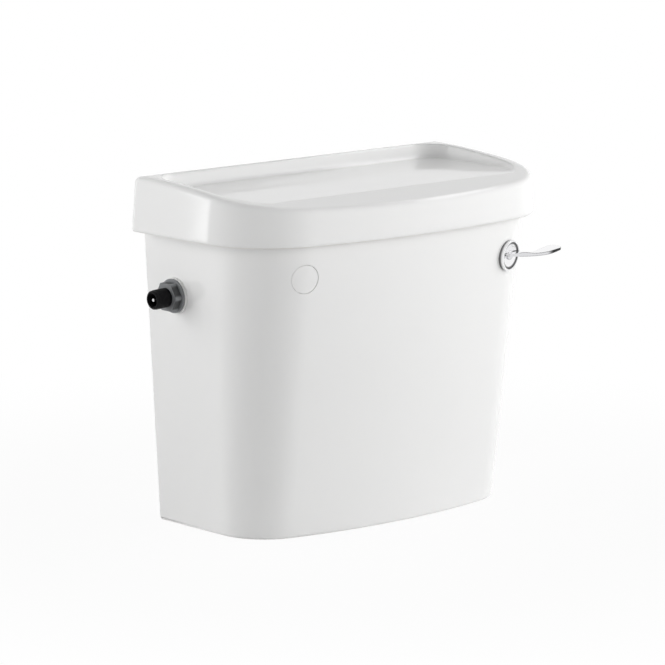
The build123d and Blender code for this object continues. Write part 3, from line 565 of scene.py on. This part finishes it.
def thread(name, body, slot, origin, axis, radius, start, end, pitch, height):
    """Helical ridge round a shaft, tapering out at both ends, riding on a body."""
    turn_steps, taper_steps = 40, 20
    crest_share, root_share, least_share = 0.3, 0.85, 0.02
    turns = (end - start - pitch) / pitch
    count = int(turns * turn_steps)
    turn_to = axis.to_track_quat("Z", "Y").to_matrix().to_4x4()
    to_row = Matrix.Translation(origin) @ turn_to
    mesh = bmesh.new()
    rings = []
    for i in range(count + 1):
        turn = 2 * pi * i / turn_steps
        fade = min(1.0, i / taper_steps, (count - i) / taper_steps)
        middle = start + pitch / 2 + pitch * i / turn_steps
        crest = radius + height * max(fade, least_share)
        section = (
            (radius, middle - pitch * root_share / 2),
            (crest, middle - pitch * crest_share / 2),
            (crest, middle + pitch * crest_share / 2),
            (radius, middle + pitch * root_share / 2),
            (radius - height / 2, middle),
        )
        rings.append([
            mesh.verts.new(to_row @ Vector((r * cos(turn), r * sin(turn), z))) for r, z in section
        ])
    sides = len(rings[0])
    for low, high in zip(rings, rings[1:]):
        for k in range(sides):
            mesh.faces.new((low[k], low[(k + 1) % sides], high[(k + 1) % sides], high[k]))
    mesh.faces.new(rings[0][::-1])
    mesh.faces.new(rings[-1])
    bmesh.ops.recalc_face_normals(mesh, faces=mesh.faces)
    data = bpy.data.meshes.new(name)
    mesh.to_mesh(data)
    mesh.free()
    ridge = bpy.data.objects.new(name, data)
    bpy.context.scene.collection.objects.link(ridge)
    for face in data.polygons:
        face.use_smooth = True
    data.set_sharp_from_angle(angle=radians(35))
    dress(ridge, finish_for(slot))
    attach(ridge, body)


# Measures from the frame

def mount(name):
    """Place, direction and sizes of one of the record's mounts."""
    found = next(m for m in frame["record"]["mounts"] if m["name"] == name)
    return Vector(found["pos_m"]), Vector(found["axis"]), found["dims"]


def corners(name):
    """Every vertex of a CAD node."""
    return [vertex.co for vertex in nodes[name].data.vertices]


def reach(name, start, out):
    """How far a CAD node's vertices reach from an axis, in millimetres."""
    spans = (corner - start for corner in corners(name))
    return max((span - out * span.dot(out)).length for span in spans) / millimetre


# Steps, one for each group of pieces

class CISTERN_OT_china(bpy.types.Operator):
    """Glaze the tank and its lid"""
    bl_idname = "cistern.china"
    bl_label = "Glaze the china"

    def execute(self, context):
        sizes = context.scene.cistern_sizes
        for name, radius in (("cistern_tank", sizes.tank_edge), ("lid", sizes.lid_edge)):
            dress(nodes[name], glazed_china(f"glazed china {name}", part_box(name)[0].z, radius))
        return {"FINISHED"}


class CISTERN_OT_lever(bpy.types.Operator):
    """Plate the lever and its rose, and finish what carries them in the wall"""
    bl_idname = "cistern.lever"
    bl_label = "Finish the flush lever"

    def execute(self, context):
        width = context.scene.cistern_sizes.edge_width
        shade = context.scene.cistern_colours.chrome
        hinge = next(joint for joint in frame["joints"] if joint["name"] == "flush_lever")
        start, out = Vector(hinge["pos_m"]), -Vector(hinge["axis"])
        rim = reach("lever_plate", start, out)
        far_end = reach("lever_handle", start, out)
        dress(nodes["lever_plate"], rose_plate("plated rose", shade, start, out, rim))
        dress(nodes["lever_handle"], blade_plate("plated blade", shade, start, out, far_end))
        soften(nodes["lever_handle"], 2 * width)
        dress_nodes(("lever_bush", "lever_backnut", "lever_spindle", "lever_inner_arm"), width)
        dress_nodes(("lever_washer", "lever_arm_screw"))
        return {"FINISHED"}


class CISTERN_OT_plug(bpy.types.Operator):
    """Finish the blanking plug and its nut"""
    bl_idname = "cistern.plug"
    bl_label = "Finish the blanking plug"

    def execute(self, context):
        width = context.scene.cistern_sizes.edge_width
        dress_nodes(("blanking_plug_nut",), width / 2)
        dress(nodes["blanking_plug"], glossy_plug("glossy plug", context.scene.cistern_colours.china))
        return {"FINISHED"}


class CISTERN_OT_inlet(bpy.types.Operator):
    """Finish the inlet's tail, nut and washer, and cut the tail's thread"""
    bl_idname = "cistern.inlet"
    bl_label = "Finish the inlet"

    def execute(self, context):
        sizes = context.scene.cistern_sizes
        colours = context.scene.cistern_colours
        start, out, dims = mount("inlet_thread")
        flats = sizes.nut_flats / millimetre
        pin = sizes.strainer_pin / millimetre
        dress_nodes(("inlet_washer", "inlet_valve_body"), sizes.edge_width)
        dress_nodes(("inlet_seal",))
        dress(nodes["inlet_backnut"], moulded_nut("moulded nut", colours.grey_plastic, start, out, flats))
        soften(nodes["inlet_backnut"], sizes.edge_width)
        dress(nodes["inlet_strainer"], pinned_cup(
            "pinned cup", colours.black_plastic, colours.steel, start, out, pin
        ))
        tail_far = max((corner - start).dot(out) for corner in corners("inlet_strainer"))
        thread(
            "inlet_tail_thread", "tank", "black_plastic", start, out, dims["r_mm"] * millimetre,
            tail_far - dims["length_mm"] * millimetre, tail_far, sizes.thread_pitch, sizes.thread_height,
        )
        return {"FINISHED"}


class CISTERN_OT_valve(bpy.types.Operator):
    """Finish the float valve behind the inlet"""
    bl_idname = "cistern.valve"
    bl_label = "Finish the float valve"

    def execute(self, context):
        width = context.scene.cistern_sizes.edge_width
        dress_nodes(("valve_end_cap", "valve_union_nut", "valve_spout", "valve_plunger"), width / 2)
        dress_nodes(("valve_diaphragm", "float_pivot_pin"))
        return {"FINISHED"}


class CISTERN_OT_float(bpy.types.Operator):
    """Finish the float, its arm and the level screw"""
    bl_idname = "cistern.float"
    bl_label = "Finish the float"

    def execute(self, context):
        width = context.scene.cistern_sizes.edge_width
        dress_nodes(("float", "level_screw"))
        dress_nodes(("float_arm", "level_screw_nut"), width)
        return {"FINISHED"}


class CISTERN_OT_siphon(bpy.types.Operator):
    """Finish the siphon, its washer and its nut"""
    bl_idname = "cistern.siphon"
    bl_label = "Finish the siphon"

    def execute(self, context):
        width = context.scene.cistern_sizes.edge_width
        dress_nodes(("siphon_body", "siphon_crown", "siphon_leg", "siphon_base_ring"), width / 2)
        dress_nodes(("siphon_backnut",), 2 * width)
        dress_nodes(("siphon_washer",))
        return {"FINISHED"}


class CISTERN_OT_piston(bpy.types.Operator):
    """Finish the piston, its flap and the lift link"""
    bl_idname = "cistern.piston"
    bl_label = "Finish the piston"

    def execute(self, context):
        dress_nodes((
            "piston_plate", "piston_flap", "piston_flap_washer", "piston_nut", "piston_rod", "lift_link",
        ))
        return {"FINISHED"}


# Studio

camera_aim = Vector((0.0, -0.008, 0.18))
camera_shift = (-0.0250, 0.0274)
camera_sight = 50.0


def facing(turn, rise=0.0):
    """Direction of a place at that azimuth and height above the horizon."""
    return Vector((sin(turn) * cos(rise), -cos(turn) * cos(rise), sin(rise)))


def softbox(name, toward, middle, width, height, watts):
    """Rectangular lamp that stands that way from a middle point and looks at it."""
    data = bpy.data.lights.new(name, "AREA")
    data.shape = "RECTANGLE"
    data.size, data.size_y = width, height
    data.energy = watts
    lamp = bpy.data.objects.new(name, data)
    lamp.location = middle + toward
    lamp.rotation_euler = (-toward).to_track_quat("-Z", "Y").to_euler()
    bpy.context.scene.collection.objects.link(lamp)


def seen_ray(finish):
    """1 for what the camera sees, straight, in gloss or through glass."""
    path = finish.node("ShaderNodeLightPath").outputs
    camera, gloss, glass = (
        Amount(finish, path[kind]) for kind in ("Is Camera Ray", "Is Glossy Ray", "Is Transmission Ray")
    )
    return camera.most(gloss).most(glass)


def pale_floor(radius):
    """Round floor that keeps the shadow near the cistern and turns plain white further out."""
    sides, drop = 128, 0.0006
    cloud_wave = 0.5
    pale, paler = (0.86, 0.86, 0.86, 1.0), (0.88, 0.88, 0.88, 1.0)
    near_glow, near_radius, far_radius = 0.94, 0.35, 0.9
    mesh = bmesh.new()
    bmesh.ops.create_circle(mesh, cap_ends=True, segments=sides, radius=radius)
    data = bpy.data.meshes.new("floor")
    mesh.to_mesh(data)
    mesh.free()
    floor = bpy.data.objects.new("floor", data)
    bpy.context.scene.collection.objects.link(floor)
    floor.location.z = -drop
    finish = Finish(bpy.data.materials.new("pale floor"))
    x, y, _ = finish.axes(finish.place())
    away = (x * x + y * y).root()
    tone = finish.blend(finish.noise(cloud_wave), pale, paler)
    matt = finish.node("ShaderNodeBsdfDiffuse", None, {"Color": tone})
    glow = finish.node("ShaderNodeEmission", None, {"Color": white, "Strength": 1.0})
    share = seen_ray(finish) * (near_glow + (1 - near_glow) * away.step(near_radius, far_radius))
    mix = finish.node("ShaderNodeMixShader", None, {0: share, 1: matt.outputs[0], 2: glow.outputs[0]})
    finish.node("ShaderNodeOutputMaterial", None, {"Surface": mix.outputs[0]})
    dress(floor, finish.owner)


def studio_world(studio):
    """White behind the cistern, and soft light on it from its left and its right."""
    shade_starts, shade_full, light_full = 0.2, 0.9, 0.93
    finish = Finish(bpy.data.worlds.new("studio"))
    bpy.context.scene.world = finish.owner
    toward = finish.node("ShaderNodeTexCoord").outputs["Generated"]
    open_share = 1 - finish.axes(toward)[2].step(shade_starts, shade_full) * studio.shade_above
    light = open_share * studio.even
    for turn, edge, strength in (
        (studio.left_turn, studio.left_edge, studio.left),
        (studio.right_turn, studio.right_edge, studio.right),
    ):
        near = finish.along(toward, facing(turn)).step(edge, light_full)
        light = near * open_share * strength + light
    seen = seen_ray(finish)
    back = finish.node(
        "ShaderNodeBackground", None, {"Color": white, "Strength": seen + (1 - seen) * light}
    )
    finish.node("ShaderNodeOutputWorld", None, {"Surface": back.outputs[0]})


def photograph_view(studio):
    """Camera that sees the cistern as the photograph does."""
    data = bpy.data.cameras.new("photograph view")
    data.lens = studio.lens
    data.shift_x, data.shift_y = camera_shift
    data.clip_end = camera_sight
    camera = bpy.data.objects.new("photograph view", data)
    bpy.context.scene.collection.objects.link(camera)
    back = facing(studio.azimuth, studio.elevation)
    camera.location = camera_aim + back * studio.distance
    camera.rotation_mode = "QUATERNION"
    camera.rotation_quaternion = (-back).to_track_quat("-Z", "Y")
    bpy.context.scene.camera = camera


class CISTERN_OT_studio(bpy.types.Operator):
    """Set the floor, the softboxes, the world and the camera"""
    bl_idname = "cistern.studio"
    bl_label = "Set the studio"

    def execute(self, context):
        studio = context.scene.cistern_studio
        pale_floor(studio.floor_radius)
        studio_world(studio)
        strip_toward = facing(studio.strip_turn) * studio.lamp_distance
        strip_middle = Vector((0, 0, studio.strip_height / 2))
        rim_toward = facing(studio.rim_turn, studio.rim_rise) * studio.lamp_distance
        softbox(
            "strip lamp", strip_toward, strip_middle, studio.strip_width, studio.strip_height, studio.strip,
        )
        softbox(
            "rim lamp", rim_toward, camera_aim, studio.rim_width, studio.rim_height, studio.rim,
        )
        photograph_view(studio)
        context.scene.view_settings.view_transform = "Standard"
        return {"FINISHED"}


class CISTERN_PT_panel(bpy.types.Panel):
    """Panel with the cistern's settings and steps"""
    bl_idname = "CISTERN_PT_panel"
    bl_label = "Toilet cistern"
    bl_space_type = "VIEW_3D"
    bl_region_type = "UI"
    bl_category = "Cistern"

    def draw(self, context):
        layout = self.layout
        for group in settings():
            box = layout.box()
            for name in group.__annotations__:
                box.prop(group, name)
        for step in steps:
            layout.operator(step.bl_idname)


steps = (
    CISTERN_OT_china,
    CISTERN_OT_lever,
    CISTERN_OT_plug,
    CISTERN_OT_inlet,
    CISTERN_OT_valve,
    CISTERN_OT_float,
    CISTERN_OT_siphon,
    CISTERN_OT_piston,
    CISTERN_OT_studio,
)
groups = (CisternColours, CisternSizes, CisternStudio)


def register():
    """Adds the classes and the scene's settings to Blender."""
    for kind in (*groups, *steps, CISTERN_PT_panel):
        bpy.utils.register_class(kind)
    bpy.types.Scene.cistern_colours = bpy.props.PointerProperty(type=CisternColours)
    bpy.types.Scene.cistern_sizes = bpy.props.PointerProperty(type=CisternSizes)
    bpy.types.Scene.cistern_studio = bpy.props.PointerProperty(type=CisternStudio)


def unregister():
    """Takes them out again."""
    del bpy.types.Scene.cistern_studio
    del bpy.types.Scene.cistern_sizes
    del bpy.types.Scene.cistern_colours
    for kind in (CISTERN_PT_panel, *reversed(steps), *reversed(groups)):
        bpy.utils.unregister_class(kind)


def main():
    """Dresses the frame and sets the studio."""
    register()
    bpy.ops.cistern.china()
    bpy.ops.cistern.lever()
    bpy.ops.cistern.plug()
    bpy.ops.cistern.inlet()
    bpy.ops.cistern.valve()
    bpy.ops.cistern.float()
    bpy.ops.cistern.siphon()
    bpy.ops.cistern.piston()
    bpy.ops.cistern.studio()


if __name__ == "__main__":
    main()
